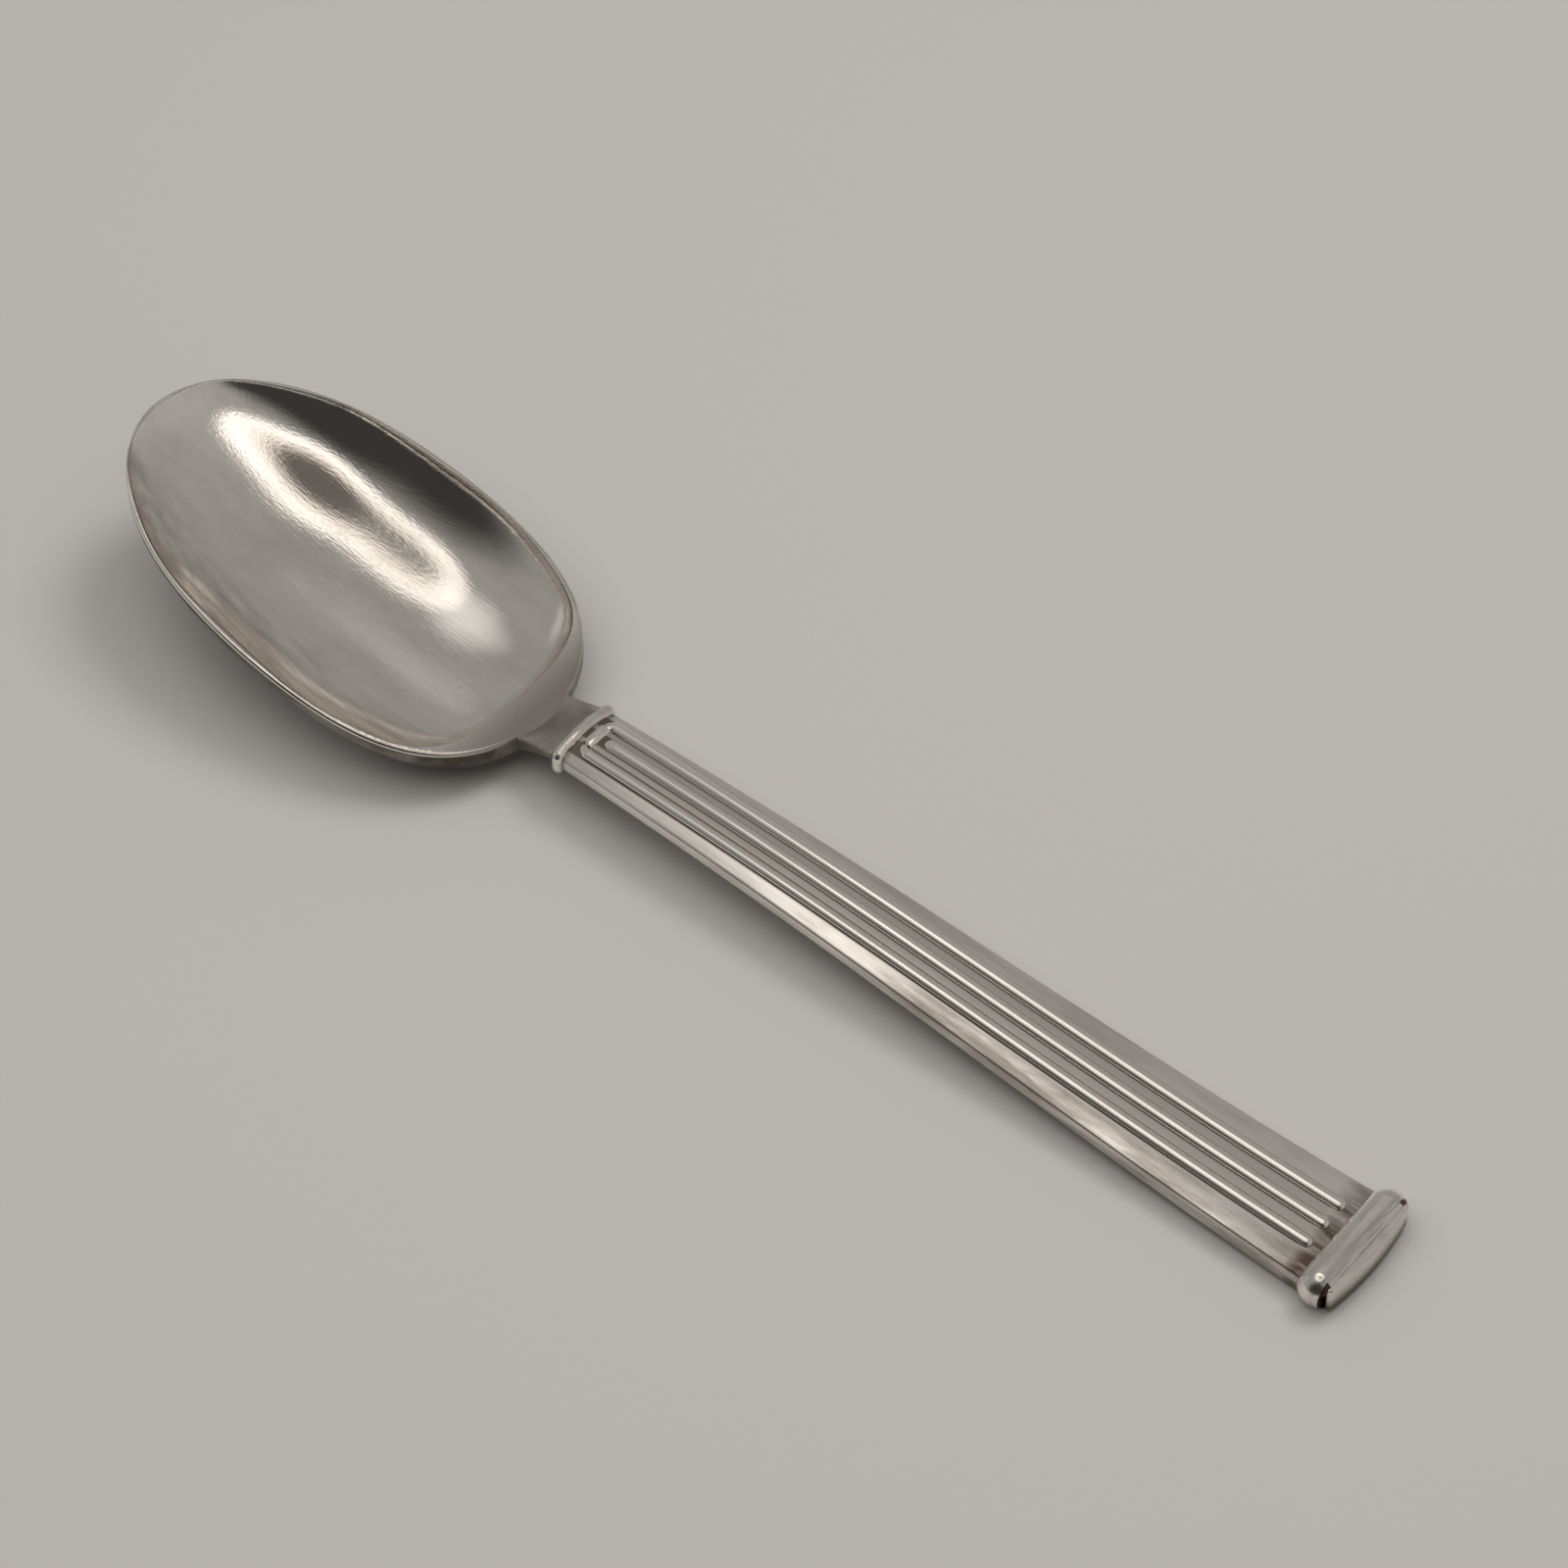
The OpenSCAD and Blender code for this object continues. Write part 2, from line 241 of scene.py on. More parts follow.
def dish(v):
    """The section's depth, as a share, at v from the middle line (0) to the edge (1 or -1)."""
    return max(0.0, 1 - abs(v) ** DISH_SQUARE) ** DISH_FULL


def edge_t(s):
    return lerp(EDGE_TIP_T, EDGE_NECK_T, (s / BOWL_L) ** EDGE_GROWS)


def belly(t):
    """How far the belly bulges below the edge, at the angle t round the egg."""
    deep = BASIN_DEEP + FLOOR_T - edge_t(BOWL_L / 2)
    return deep * (egg_w(BOWL_W, t) / BOWL_W) ** SHALLOWER


def keel(t):
    """Height of the underside's middle line over the rim at the seam."""
    s = egg_s(EGG_L, t)
    return RIM_RISE * (1 - s / BOWL_L) - edge_t(s) - belly(t)


STEPS = 400
SEAM_Z = -min(keel(SEAM_T * k / STEPS) for k in range(STEPS + 1))  # so the belly rests on the table
COLLAR_Z = SEAM_Z + NECK_RISE
SEAM_W = egg_w(BOWL_W, SEAM_T)


def rim_z(s):
    return SEAM_Z + RIM_RISE * (1 - s / BOWL_L)


print("seam at z =", round(SEAM_Z, 2), "mm, seam width", round(SEAM_W, 2), "mm")

# %% Model the bowl
ALONG, ACROSS = 80, 48
SLAB = (0.0, BOWL_L, BOWL_W, 2.0, 0.0)
SHARES = [math.cos(math.pi * j / ACROSS) for j in range(ACROSS + 1)]
CREASE = 1.1

bowl = slab("spoon_bowl", *SLAB, ALONG, ACROSS)
bpy.ops.mesh.inset(thickness=0.01 * MM)
sides = addresses(bowl, SLAB[0], SLAB[1], SLAB[2], SLAB[3], ALONG, ACROSS)
for j, v in enumerate(SHARES):
    step = (v - (1 - 2 * j / ACROSS)) * BOWL_W / 2 * MM
    inner = [rows for side in ("under", "top") for rows in sides[side].values()]
    pick_numbers(bowl, [rows[j] for rows in inner if j in rows])
    shape(move=(0, step, -dish(v) * MM))
    pick_numbers(bowl, [rows[j] for rows in sides["ring"].values() if j in rows])
    shape(move=(0, step, 0))
for i in range(ALONG + 1):
    start = lerp(SLAB[0], SLAB[1], i / ALONG)
    t, basin_t = SEAM_T * i / ALONG, math.pi * i / ALONG
    s, basin_s = egg_s(EGG_L, t), RIM_TIP_W + egg_s(BASIN_L, basin_t)
    width, basin_w = egg_w(BOWL_W, t), egg_w(BASIN_W, basin_t, BASIN)
    deep = BASIN_DEEP * (basin_w / BASIN_W) ** SHALLOWER
    top, low = SLAB[3:]
    goals = {"under": (low, width, belly(t), at(s, 0, rim_z(s) - edge_t(s))),
             "ring": (top, width, 1, at(s, 0, rim_z(s))),
             "top": (top, basin_w, deep, at(basin_s, 0, rim_z(basin_s)))}
    for side, (flat, wide, deeper, goal) in goals.items():
        origin = at(start, 0, flat)
        pick_numbers(bowl, sides[side][i].values())
        shape(move=goal - origin, grow=(1, wide / BOWL_W, deeper), about=origin)
for j, v in enumerate(SHARES):
    pick_numbers(bowl, [sides["ring"][ALONG][j]])
    shape(move=Vector((1, 0, -RIM_RISE / BOWL_L)) * CREASE * (1 - v * v) * MM)
outer = [rows for side in ("under", "ring") for rows in sides[side].values()]
part_skin(bowl, [number for rows in outer for number in rows.values()])
brink = [number for i, rows in sides["top"].items() for j, number in rows.items()
         if j in (0, ACROSS) or i in (0, ALONG)]
pick_numbers(bowl, brink)
bpy.ops.mesh.mark_sharp()
ease_rim(bowl, -1, SEAM_S)
finish(bowl, "bowl")

# %% [markdown]
# ## Neck
# The neck is the last of the bowl's metal before the collar: a flat wedge, round underneath, that
# climbs to the handle. It is a slab too, and its columns follow the neck's waist. Its top starts on
# the same curved line where the bowl's shoulder stops, so the two meet in a crease, and it is crowned
# little by little, because the handle's top is arched across.

# %% Model the neck
NECK_ALONG = 14
BELLY_SHARE = 0.3
NECK_SLAB = (SEAM_S, COLLAR_S, NECK_W, 2.0, 0.0)
neck = slab("spoon_neck", *NECK_SLAB, NECK_ALONG, ACROSS)
sides = addresses(neck, *NECK_SLAB[:4], NECK_ALONG, ACROSS)
for side in ("ring", "top"):
    for i, rows in sides[side].items():
        sides["under"][i].update({j + ACROSS + 1: number for j, number in rows.items()})
for j, v in enumerate(SHARES):
    step = (v - (1 - 2 * j / ACROSS)) * NECK_W / 2 * MM
    pick_numbers(neck, [rows[j] for rows in sides["under"].values()])
    shape(move=(0, step, -dish(v) * MM))
    pick_numbers(neck, [rows[j + ACROSS + 1] for rows in sides["under"].values()])
    shape(move=(0, step, 0))
for i in range(NECK_ALONG + 1):
    u = i / NECK_ALONG
    s, z = lerp(SEAM_S, COLLAR_S, u), lerp(SEAM_Z, COLLAR_Z, u)
    width = lerp(SEAM_W, COLLAR_W, u) - 4 * u * (1 - u) * ((SEAM_W + COLLAR_W) / 2 - NECK_W)
    edge = lerp(EDGE_NECK_T, COLLAR_T * (1 - BELLY_SHARE), u)
    deep = lerp(belly(SEAM_T), COLLAR_T * BELLY_SHARE, u)
    rows = sides["under"][i]
    top, low = NECK_SLAB[3:]
    for on_top, flat, height, deeper in ((False, low, z - edge, deep), (True, top, z, 1)):
        origin = at(s, 0, flat)
        pick_numbers(neck, [number for j, number in rows.items() if (j > ACROSS) == on_top])
        shape(move=at(s, 0, height) - origin, grow=(1, width / NECK_W, deeper), about=origin)
    for j, v in enumerate(SHARES):
        pick_numbers(neck, [rows[j + ACROSS + 1]])
        bulge = CREASE * (1 - v * v) * (1 - u)
        drop = RIM_RISE / BOWL_L * bulge * (1 - u) + COLLAR_CROWN * u * v * v
        shape(move=Vector((bulge, 0, -drop)) * MM)
part_skin(neck, [number for rows in sides["under"].values() for j, number in rows.items()
                 if j <= ACROSS + 1 or j == 2 * ACROSS + 1])
ease_rim(neck, SEAM_S, COLLAR_S)
finish(neck, "neck")

# %% [markdown]
# ## Handle
# The handle is a tapering bar with eased edges. Its top is arched across, most of all at the collar.
# A curve with a bevel profile could draw it, but its section changes on the way. A box is cut by
# planes, its long edges are bevelled, and at each station its points are spread, lowered and moved.

# %% Shape of the handle along its length
STATIONS = 44
CROWN_ROWS = 7
ARCH_LEAN = 1.08  # over 1, the arch falls a little later along the handle
SLACK = 0.06  # mm, so that a test on a place doesn't miss a point that lies on it


def along_handle(s):
    return min(1.0, max(0.0, (s - HANDLE_S) / HANDLE_L))


def top_z(s):
    return lerp(COLLAR_Z, END_Z, (1 - math.cos(math.pi * along_handle(s) ** ARCH_LEAN)) / 2)


def handle_w(s):
    return lerp(COLLAR_W, END_W, along_handle(s))


def handle_t(s):
    u = along_handle(s)
    return lerp(COLLAR_T, END_T, u) - 4 * u * (1 - u) * WAIST


def crown_drop(s, y):
    """How much lower the top is at y than along its middle."""
    return lerp(COLLAR_CROWN, END_CROWN, along_handle(s)) * (2 * y / handle_w(s)) ** 2


def pitch(s):
    return lerp(PITCH, END_PITCH, (s - CROSS_S) / (END_S - CROSS_S))


print("handle", COLLAR_W, "to", END_W, "mm wide, and its top falls", round(COLLAR_Z - END_Z, 2), "mm")


# %% Cut, box and bevel
def cut(place, normal, **settings):
    """Cuts the whole piece along a plane."""
    bpy.ops.mesh.select_all(action="SELECT")
    bpy.ops.mesh.bisect(plane_co=place, plane_no=normal, threshold=TINY / 10, **settings)


def box(name, s0, s1, width, low, high):
    """A box, in millimetres, ready to edit."""
    centre = at((s0 + s1) / 2, 0, (low + high) / 2)
    piece = begin(name, bpy.ops.mesh.primitive_cube_add, size=MM, location=centre)
    bpy.ops.mesh.select_all(action="SELECT")
    shape(grow=(s1 - s0, width, high - low), about=centre)
    return piece


def bevel_long_edges(piece, wanted, width, steps):
    """Bevels the edges that run along the spoon and pass a test on their middle."""
    bpy.ops.mesh.select_all(action="DESELECT")
    bpy.ops.mesh.select_mode(type="EDGE")
    mesh = bmesh.from_edit_mesh(piece.data)
    for edge in mesh.edges:
        a, b = (point.co for point in edge.verts)
        edge.select = abs(a.x - b.x) > 0.2 * MM and wanted((a + b) / 2)
    bmesh.update_edit_mesh(piece.data)
    bpy.ops.mesh.bevel(offset=width * MM, segments=steps, profile=0.5)
    bpy.ops.mesh.select_mode(type="VERT")


# %% Model the handle
handle = box("spoon_handle", HANDLE_S, END_S, COLLAR_W, -COLLAR_T, 0)
shelf = COLLAR_W / 2 - BEVEL_W
crown = [shelf * k / CROWN_ROWS for k in range(1, CROWN_ROWS)]
for y in crown:
    for side in (-1, 1):
        cut(at(0, side * y, 0), (0, 1, 0))
bevel_long_edges(handle, lambda mid: abs(mid.y) > (COLLAR_W / 2) * MM - TINY, BEVEL_W, 3)
stations = [lerp(HANDLE_S, END_S, k / STATIONS) for k in range(STATIONS + 1)]
for s in stations[1:-1]:
    cut(at(s), (1, 0, 0))
middle = -COLLAR_T / 2 * MM
for s in stations:
    x = at(s).x
    outward = (handle_w(s) - COLLAR_W) / 2
    wider = (shelf + outward) / shelf
    pick(handle, lambda point: abs(point.co.x - x) < TINY and point.co.z < middle)
    shape(move=(0, 0, (COLLAR_T - handle_t(s)) * MM))
    for side in (-1, 1):
        pick(handle, lambda point: abs(point.co.x - x) < TINY
             and side * point.co.y > (shelf - SLACK) * MM)
        shape(move=(0, side * outward * MM, 0))
    pick(handle, lambda point: abs(point.co.x - x) < TINY and point.co.z > middle
         and abs(point.co.y) > (shelf + outward - SLACK) * MM)
    shape(move=(0, 0, -crown_drop(s, shelf + outward) * MM))
    for y in reversed(crown):
        pick(handle, lambda point: abs(point.co.x - x) < TINY
             and abs(abs(point.co.y) - y * MM) < TINY)
        shape(grow=(1, wider, 1), about=(x, 0, 0))
        pick(handle, lambda point: abs(point.co.x - x) < TINY and point.co.z > middle
             and abs(abs(point.co.y) - y * wider * MM) < TINY)
        shape(move=(0, 0, -crown_drop(s, y * wider) * MM))
    pick(handle, lambda point: abs(point.co.x - x) < TINY)
    shape(move=(0, 0, top_z(s) * MM))
finish(handle, "handle")

# %% [markdown]
# ## Collar
# The collar is a raised bead that wraps the bar where neck and handle meet. A torus would be round in
# plan, and this one follows an arched bar. A plate is cut in rows that drop with the arch. Its four
# long edges are bevelled, and then both its faces all round, until its rim is half round.

# %% Model the collar
BEAD_W = COLLAR_W + 2 * BEAD_H
BEAD_CORNER, BEAD_ROUND = 0.8, 0.46 * COLLAR_L
bead_low, bead_top = COLLAR_Z - COLLAR_T - BEAD_H, COLLAR_Z + BEAD_H
collar = box("spoon_collar", COLLAR_S, HANDLE_S, BEAD_W, bead_low, bead_top)
rows = [BEAD_W / 2 * k / CROWN_ROWS for k in range(1, CROWN_ROWS)]
for y in rows:
    for side in (-1, 1):
        cut(at(0, side * y, 0), (0, 1, 0))
for y in rows + [BEAD_W / 2]:
    pick(collar, lambda point: abs(abs(point.co.y) - y * MM) < TINY and point.co.z > COLLAR_Z * MM)
    shape(move=(0, 0, -COLLAR_CROWN * (y / (BEAD_W / 2)) ** 2 * MM))
bevel_long_edges(collar, lambda mid: abs(mid.y) > BEAD_W / 2 * MM - TINY, BEAD_CORNER, 6)
bpy.ops.mesh.select_all(action="DESELECT")
bpy.ops.mesh.select_mode(type="EDGE")
mesh = bmesh.from_edit_mesh(collar.data)
for edge in mesh.edges:
    round_face = abs(edge.verts[0].co.x - edge.verts[1].co.x) < TINY
    edge.select = round_face and any(abs(face.normal.x) < 0.5 for face in edge.link_faces)
bmesh.update_edit_mesh(collar.data)
bpy.ops.mesh.bevel(offset=BEAD_ROUND * MM, segments=8, profile=0.5)
bpy.ops.mesh.select_mode(type="VERT")
finish(collar, "collar_bead")

# %% [markdown]
# ## Reeds
# Reeds are half-round ribs left standing when the handle was struck. Each is half a cylinder, cut at
# the handle's stations so that it can bend and lean with it. Its tip is extruded and shrunk to a round
# nose. An outer reed is spun through a quarter turn at the collar, where the cross reed joins the two.

# %% A reed's nose, and its bed on the handle
CORNER_R = 1.0
SINK = 0.03  # mm that a reed reaches into the handle, so that no gap shows
TIP_S = END_S - TIP_IN - REED_W / 2
NOSE_STEPS, NOSE_TURN = 6, 86  # it stops short of 90 degrees, so that its last face isn't a point
CROSS_CUTS = (0.6, 1.2)
CLEAR = 0.3  # mm: no cut falls closer than this to a reed's two ends


def nose(piece, s, y, way):
    """Rounds the end face at s in shrinking steps; way is the direction it points along the spoon."""
    pick(piece, lambda point: abs(point.co.x - at(s).x) < TINY)
    before = 0.0
    for k in range(1, NOSE_STEPS + 1):
        turn, turn_before = (math.radians(NOSE_TURN * n / NOSE_STEPS) for n in (k, k - 1))
        ahead = REED_W / 2 * math.sin(turn)
        step = way * (ahead - before) * MM
        bpy.ops.mesh.extrude_region_move(TRANSFORM_OT_translate={"value": (step, 0, 0)})
        small = math.cos(turn) / math.cos(turn_before)
        bpy.ops.transform.resize(value=(1, small, small), center_override=at(s, y, -SINK))
        before = ahead


def lay_on_handle(piece, side):
    """Moves each station of a flat reed to the handle's height and the reeds' spread, and leans it."""
    places = {}
    for point in bmesh.from_edit_mesh(piece.data).verts:
        places.setdefault(round(point.co.x, 6), []).append(point.index)
    for x, numbers in places.items():
        s = x / MM + LENGTH / 2
        y = side * pitch(max(s, CROSS_S))
        rise = crown_drop(s, abs(y) - REED_W / 2) - crown_drop(s, abs(y) + REED_W / 2)
        bed = (crown_drop(s, abs(y) - REED_W / 2) + crown_drop(s, abs(y) + REED_W / 2)) / 2
        pick_numbers(piece, numbers)
        if side:
            bpy.ops.transform.rotate(value=side * math.atan(rise / REED_W), orient_axis="X",
                                     center_override=(x, side * PITCH * MM, 0))
        shape(move=(0, (y - side * PITCH) * MM, (top_z(s) - bed) * MM))


print("reeds", REED_W, "mm wide and", REED_H, "mm high; their tips stop", TIP_IN, "mm short of the end")


# %% Model the reeds
def half_round(name, centre, length, turned):
    """Half a cylinder, flat side down, stretched to the reed's height."""
    piece = begin(name, bpy.ops.mesh.primitive_cylinder_add, vertices=32, radius=REED_W / 2 * MM,
                  depth=length * MM, location=centre, rotation=turned)
    cut(centre, (0, 0, 1), clear_inner=True, use_fill=True)
    bpy.ops.mesh.select_all(action="SELECT")
    shape(move=(0, 0, -SINK * MM), grow=(1, 1, (REED_H + SINK) / (REED_W / 2)), about=centre)
    return piece


def reed(name, node, side, start_s):
    y = side * PITCH
    piece = half_round(name, at((start_s + TIP_S) / 2, y), TIP_S - start_s, (0, math.pi / 2, 0))
    for s in stations:
        if start_s + CLEAR < s < TIP_S - CLEAR:
            cut(at(s), (1, 0, 0))
    nose(piece, TIP_S, y, 1)
    if side:
        pick(piece, lambda point: abs(point.co.x - at(start_s).x) < TINY)
        bpy.ops.mesh.spin(steps=8, angle=-side * math.pi / 2, axis=(0, 0, 1),
                          center=at(start_s, side * (PITCH - CORNER_R), 0))
    else:
        nose(piece, start_s, y, -1)
    lay_on_handle(piece, side)
    finish(piece, node, 60)
    return piece


near_reed = reed("reed_near", "near_reed", -1, CROSS_S + CORNER_R)
middle_reed = reed("reed_middle", "middle_reed", 0, CROSS_S + MIDDLE_IN)
far_reed = reed("reed_far", "far_reed", 1, CROSS_S + CORNER_R)
cross_reed = half_round("reed_cross", at(CROSS_S), 2 * (PITCH - CORNER_R), (math.pi / 2, 0, 0))
for y in (-CROSS_CUTS[1], -CROSS_CUTS[0], 0, *CROSS_CUTS):
    cut(at(CROSS_S, y), (0, 1, 0))
for y in (*CROSS_CUTS, PITCH - CORNER_R):
    pick(cross_reed, lambda point: abs(abs(point.co.y) - y * MM) < TINY)
    shape(move=(0, 0, -crown_drop(CROSS_S, y) * MM))
lay_on_handle(cross_reed, 0)
finish(cross_reed, "cross_reed", 60)

# %% [markdown]
# ## End roll and end plate
# The handle ends in a roll with round ends, closed by a lens-shaped plate. A capsule could come from
# a bevelled cylinder, but bevels pinch at the poles. A ball is parted at its equator instead, and
# planes cut it flat on the table, at the handle and at the plate. A slit is cut at each of its ends.

# %% Model the end roll
ROLL_Z = math.sqrt((ROLL_D / 2) ** 2 - (REST_W / 2) ** 2)
HALF = ROLL_L / 2 - ROLL_D / 2
end_roll = begin("end_roll_body", bpy.ops.mesh.primitive_uv_sphere_add, segments=96, ring_count=33,
                 radius=ROLL_D / 2 * MM, location=at(ROLL_S, 0, ROLL_Z), rotation=(math.pi / 2, 0, 0))
for side in (-1, 1):
    pick(end_roll, lambda point: side * point.co.y > 0)
    shape(move=(0, side * HALF * MM, 0))
cut(at(END_S), (1, 0, 0), clear_inner=True, use_fill=True)
cut(at(PLATE_S), (1, 0, 0), clear_outer=True, use_fill=True)
cut(at(0), (0, 0, 1), clear_inner=True, use_fill=True)
bpy.ops.object.mode_set(mode="OBJECT")
print("end roll", len(end_roll.data.vertices), "points before its slits")

# %% Cut the slits at its ends
for side in (-1, 1):
    slit = box("slit", PLATE_S - SLIT_W, PLATE_S + 1, 2 * SLIT_DEEP, PLATE_LOW, PLATE_TOP - PLATE_LOW)
    shape(move=(0, side * ROLL_L / 2 * MM, 0))
    bpy.ops.object.mode_set(mode="OBJECT")
    bpy.ops.object.select_all(action="DESELECT")
    bpy.context.view_layer.objects.active = end_roll
    end_roll.select_set(True)
    saw = end_roll.modifiers.new("slit", "BOOLEAN")
    saw.operation, saw.solver, saw.object = "DIFFERENCE", "EXACT", slit
    bpy.ops.object.modifier_apply(modifier="slit")
    bpy.data.objects.remove(slit)
bpy.ops.object.mode_set(mode="EDIT")
finish(end_roll, "end_roll", 30)

# %% Model the end plate
BOW = PLATE_T - PLATE_END_T
PLATE_R = ((PLATE_L / 2) ** 2 + BOW ** 2) / (2 * BOW)
PLATE_CORNER, PLATE_EDGE = 0.35, 0.25
end_plate = begin("end_plate_lens", bpy.ops.mesh.primitive_cylinder_add, vertices=720,
                  radius=PLATE_R * MM, depth=(PLATE_TOP - PLATE_LOW) * MM,
                  location=at(PLATE_S + PLATE_T - PLATE_R, 0, (PLATE_TOP + PLATE_LOW) / 2))
cut(at(PLATE_S), (1, 0, 0), clear_inner=True, use_fill=True)
for side in (-1, 1):
    cut(at(PLATE_S, side * PLATE_L / 2), (0, side, 0), clear_outer=True, use_fill=True)
for upright, width in ((True, PLATE_CORNER), (False, PLATE_EDGE)):
    bpy.ops.mesh.select_all(action="DESELECT")
    bpy.ops.mesh.select_mode(type="EDGE")
    mesh = bmesh.from_edit_mesh(end_plate.data)
    for edge in mesh.edges:
        mid = (edge.verts[0].co + edge.verts[1].co) / 2
        level = abs(edge.verts[0].co.z - edge.verts[1].co.z) < TINY
        at_end = abs(mid.y) > PLATE_L / 2 * MM - TINY
        edge.select = abs(mid.x - at(PLATE_S).x) > TINY and (at_end and not level if upright else level)
    bmesh.update_edit_mesh(end_plate.data)
    bpy.ops.mesh.bevel(offset=width * MM, segments=3, profile=0.5)
bpy.ops.mesh.select_mode(type="VERT")
finish(end_plate, "end_plate", 30)

# %% [markdown]
# ## Silver plate
# Silver is the whitest metal: it mirrors the room with a faint warmth. Use leaves fine scratches that
# run along the bowl and the handle, and air tones it brown where no polishing cloth reaches. An image
# could carry that, but noise keeps its true scale on a part of any size. The finish is one recipe:
# polished metal, darkened where a mask says so by a brown tone and in places by painted shade, and
# scratches by noise stretched along the spoon.

# %% Helpers for materials
# The two brown colours are tone, and the masks below also use them for painted shade
CLEAN, TONE_AND_SHADE, SKIN_TONE_AND_SHADE = "#F4F0EA", "#5E4A3E", "#453A34"
MICRON = 0.001 * MM


def linear(hex_colour):
    """A colour given as sRGB hex, in the linear values that a shader takes."""
    parts = [int(hex_colour[k:k + 2], 16) / 255 for k in (1, 3, 5)]
    return [c / 12.92 if c <= 0.04045 else ((c + 0.055) / 1.055) ** 2.4 for c in parts] + [1.0]


def add(tree, kind, settings=None, links=None):
    """Adds a node with its settings, and links its inputs from other nodes or sockets."""
    node = tree.nodes.new("ShaderNode" + kind)
    for name, value in (settings or {}).items():
        if isinstance(name, str) and hasattr(node, name):
            setattr(node, name, value)
        else:
            node.inputs[name].default_value = value
    for name, source in (links or {}).items():
        tree.links.new(getattr(source, "outputs", [source])[0], node.inputs[name])
    return node


print("clean silver in linear values:", [round(c, 3) for c in linear(CLEAN)[:3]])

# %% The recipe for silver plate
# The masks that darken the metal, painted shade among them, also make it rougher by DULLING
WEAR, DULLING = 0.06, 0.2  # how much rougher the metal is in a scratch, and where it is toned


def silver(name, polish, even, haze, scratch_mm, depth, zones=None, cloud_mm=(14, 5, 5), tone=TONE_AND_SHADE):
    """Polish is the roughness, even and haze are the least and most tone, and depth is in microns."""
    material = bpy.data.materials.new(name)
    material.use_nodes = True
    tree = material.node_tree
    tree.nodes.clear()
    place = add(tree, "TexCoord").outputs["Object"]
    clouded = add(tree, "Mapping", {"Scale": [1 / (size * MM) for size in cloud_mm]}, {"Vector": place})
    cloud = add(tree, "TexNoise", {"Scale": 1.0, "Detail": 6.0, "Roughness": 0.62}, {"Vector": clouded})
    drawn = add(tree, "Mapping", {"Scale": [1 / (size * MM) for size in scratch_mm]}, {"Vector": place})
    scratches = add(tree, "TexNoise", {"Scale": 1.0, "Detail": 3.0}, {"Vector": drawn})
    darkened = add(tree, "MapRange", {"interpolation_type": "SMOOTHSTEP", "From Min": 0.4,
                                   "From Max": 0.66, "To Min": even, "To Max": haze}, {"Value": cloud})
    if zones:
        darkened = add(tree, "Math", {"operation": "MAXIMUM"}, {0: darkened, 1: zones(tree, place, cloud)})
    colour = add(tree, "MixRGB", {"Color1": linear(CLEAN), "Color2": linear(tone)}, {"Fac": darkened})
    worn = add(tree, "MapRange", {"From Min": 0.3, "From Max": 0.7,
                                  "To Min": polish, "To Max": polish + WEAR}, {"Value": scratches})
    rough = add(tree, "Math", {"operation": "MULTIPLY_ADD", 1: DULLING}, {0: darkened, 2: worn})
    bump = add(tree, "Bump", {"Strength": 0.5, "Distance": depth * MICRON}, {"Height": scratches})
    metal = add(tree, "BsdfPrincipled", {"Metallic": 1.0},
                {"Base Color": colour, "Roughness": rough, "Normal": bump})
    add(tree, "OutputMaterial", links={"Surface": metal})
    print(name, "has roughness", polish, "and", len(tree.nodes), "nodes")
    return material


# %% Where the handle is toned
FOOT_IN, FOOT_OUT = 0.95, 1.22  # mm from a reed's middle line: the line at its foot, full and faded
STRIP_IN, STRIP_OUT = 1.0, 1.3  # mm outside the near reed's middle line: where the near strip begins
STREAKS_S, STREAKS_FULL_S = 118, 140  # places along the spoon: the near strip's streaks, faint and full
SPREAD = (END_PITCH - PITCH) / (END_S - CROSS_S)


def reed_feet(tree, x, y, outer_y):
    """Darker in a line at each reed's foot, and a little darker on the flats between two reeds."""
    off = add(tree, "Math", {"operation": "ABSOLUTE"}, {0: y})
    past = add(tree, "Math", {"operation": "SUBTRACT"}, {0: off, 1: outer_y})
    near_outer = add(tree, "Math", {"operation": "ABSOLUTE"}, {0: past})
    near = add(tree, "Math", {"operation": "MINIMUM"}, {0: off, 1: near_outer})
    foot = add(tree, "MapRange", {"From Min": FOOT_IN * MM, "From Max": FOOT_OUT * MM,
                                  "To Min": 0.85, "To Max": 0.0}, {"Value": near})
    between = add(tree, "MapRange", {"From Min": -MM, "From Max": 0.0, "To Min": 0.3, "To Max": 0.0},
                  {"Value": past})
    darkened = add(tree, "Math", {"operation": "MAXIMUM"}, {0: foot, 1: between})
    reeded = add(tree, "MapRange", {"From Min": at(TIP_S - 1).x, "From Max": at(TIP_S + 1).x,
                                    "To Min": 1.0, "To Max": 0.0}, {"Value": x})
    return add(tree, "Math", {"operation": "MULTIPLY"}, {0: darkened, 1: reeded})


def near_strip_shade(tree, x, y, outer_y, cloud):
    """Painted shade in streaks on the flat strip outside the near reed, in the handle's second half."""
    outside = add(tree, "Math", {"operation": "ADD"}, {0: y, 1: outer_y})
    strip = add(tree, "MapRange", {"From Min": -STRIP_OUT * MM, "From Max": -STRIP_IN * MM,
                                   "To Min": 1.0, "To Max": 0.0}, {"Value": outside})
    later = add(tree, "MapRange", {"interpolation_type": "SMOOTHSTEP", "From Min": at(STREAKS_S).x,
                                   "From Max": at(STREAKS_FULL_S).x}, {"Value": x})
    streaked = add(tree, "MapRange", {"From Min": 0.36, "From Max": 0.6, "To Min": 0.1, "To Max": 0.6},
                   {"Value": cloud})
    later = add(tree, "Math", {"operation": "MULTIPLY"}, {0: later, 1: streaked})
    return add(tree, "Math", {"operation": "MULTIPLY"}, {0: later, 1: strip})


